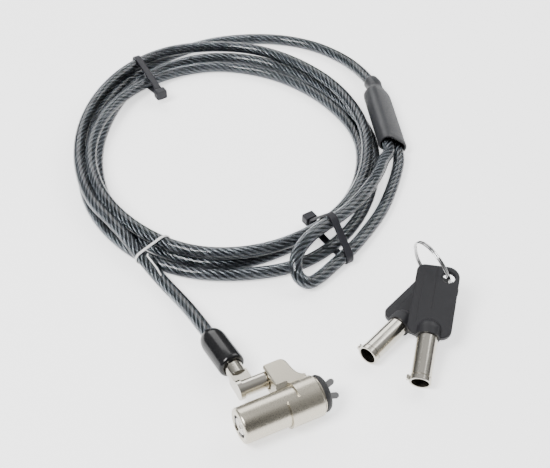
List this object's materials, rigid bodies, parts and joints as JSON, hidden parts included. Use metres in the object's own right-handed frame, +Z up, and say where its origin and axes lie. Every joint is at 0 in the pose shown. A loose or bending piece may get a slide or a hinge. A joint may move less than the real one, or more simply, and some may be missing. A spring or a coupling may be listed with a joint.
{
  "type": "laptop cable lock",
  "caption": "Laptop cable lock: push-to-lock barrel with two splaying hooks, swivelling cable elbow, coiled steel cable with a crimped eye, and two tubular keys on a ring.",
  "frame": {"origin": "middle of the bumper's front face, on the lock's axis", "axes": "+X along the lock's axis towards the hooks, +Y level from the lock's axis towards the cable's swivel boss, +Z up"},
  "size_m": [0.1632, 0.254, 0.0248],
  "materials": {
    "satin_nickel": "satin",
    "bright_nickel": "polished",
    "brass": "satin",
    "steel": "satin",
    "spring_steel": "satin",
    "bright_steel": "polished",
    "aluminium": "satin",
    "black_rubber": "matte",
    "black_vinyl": "gloss",
    "clear_jacket": "gloss",
    "black_shrink": "satin",
    "black_nylon": "satin",
    "black_plastic": "matte",
    "clear_nylon": "gloss"
  },
  "bodies": {
    "cable": {"elbow_fitting": "satin_nickel", "cable_boot": "black_vinyl", "cable_lead": "clear_jacket", "cable_coil": "clear_jacket", "cable_tail": "clear_jacket", "cable_eye": "clear_jacket", "shrink_sleeve": "black_shrink", "crimp_ferrule": "aluminium", "tie_1_strap": "black_nylon", "tie_1_head": "black_nylon", "tie_2_strap": "black_nylon", "tie_2_head": "black_nylon", "thread_loop": "clear_nylon"},
    "collar": {"collar_housing": "satin_nickel", "boss_clip": "spring_steel"},
    "nose": {"nose_block": "steel", "jaw_pins": "steel", "bumper": "black_rubber", "retaining_ring": "spring_steel"},
    "barrel": {"barrel_shell": "satin_nickel", "lock_cylinder": "brass", "driver_pins": "brass", "pin_springs": "spring_steel", "spindle": "steel", "return_spring": "spring_steel"},
    "plug": {"key_plug": "satin_nickel", "key_pins": "brass"},
    "hook_u": {"hook_upper": "steel"},
    "hook_l": {"hook_lower": "steel"},
    "split_ring": {"key_ring": "bright_steel"},
    "key_a": {"key_1_tube": "bright_nickel", "key_1_bow": "black_plastic"},
    "key_b": {"key_2_tube": "bright_nickel", "key_2_bow": "black_plastic"}
  },
  "joints": [
    {"name": "cable_swivel", "type": "hinge", "parent": "cable", "child": "collar", "pos_m": [-0.016, 0.0148, 0], "axis": [1, 0, 0], "range_deg": [-100, 100]},
    {"name": "collar_swivel", "type": "hinge", "parent": "collar", "child": "nose", "pos_m": [-0.005, 0, 0], "axis": [1, 0, 0], "continuous": true},
    {"name": "push_lock", "type": "slide", "parent": "nose", "child": "barrel", "axis": [1, 0, 0], "range_m": [-0.004, 0]},
    {"name": "key_turn", "type": "hinge", "parent": "barrel", "child": "plug", "pos_m": [-0.03, 0, 0], "axis": [1, 0, 0], "range_deg": [0, 90]},
    {"name": "hook_upper_swing", "type": "hinge", "parent": "nose", "child": "hook_u", "pos_m": [-0.0016, 0.001, 0.00081], "axis": [0, -0.6293, 0.7771], "range_deg": [-16.01, 0.01]},
    {"name": "hook_lower_swing", "type": "hinge", "parent": "nose", "child": "hook_l", "pos_m": [-0.0016, -0.001, -0.00081], "axis": [0, -0.6293, 0.7771], "range_deg": [-0.01, 16.01]},
    {"name": "keys_lift_off", "type": "slide", "parent": "cable", "child": "split_ring", "axis": [0, 0, 1], "range_m": [0, 0.08]},
    {"name": "key_1_swing", "type": "hinge", "parent": "split_ring", "child": "key_a", "pos_m": [0.06958, 0.02363, -0.00176], "axis": [-0.0406, -0.016, 0.999], "range_deg": [-20, 0]},
    {"name": "key_2_swing", "type": "hinge", "parent": "split_ring", "child": "key_b", "pos_m": [0.06773, 0.02183, 0.00792], "axis": [-0.1616, -0.1912, 0.9681], "range_deg": [0, 60]}
  ],
  "couplings": [
    {"joint": "hook_upper_swing", "follows": "push_lock", "rad_per_m": 69.813},
    {"joint": "hook_lower_swing", "follows": "push_lock", "rad_per_m": -69.813}
  ]
}
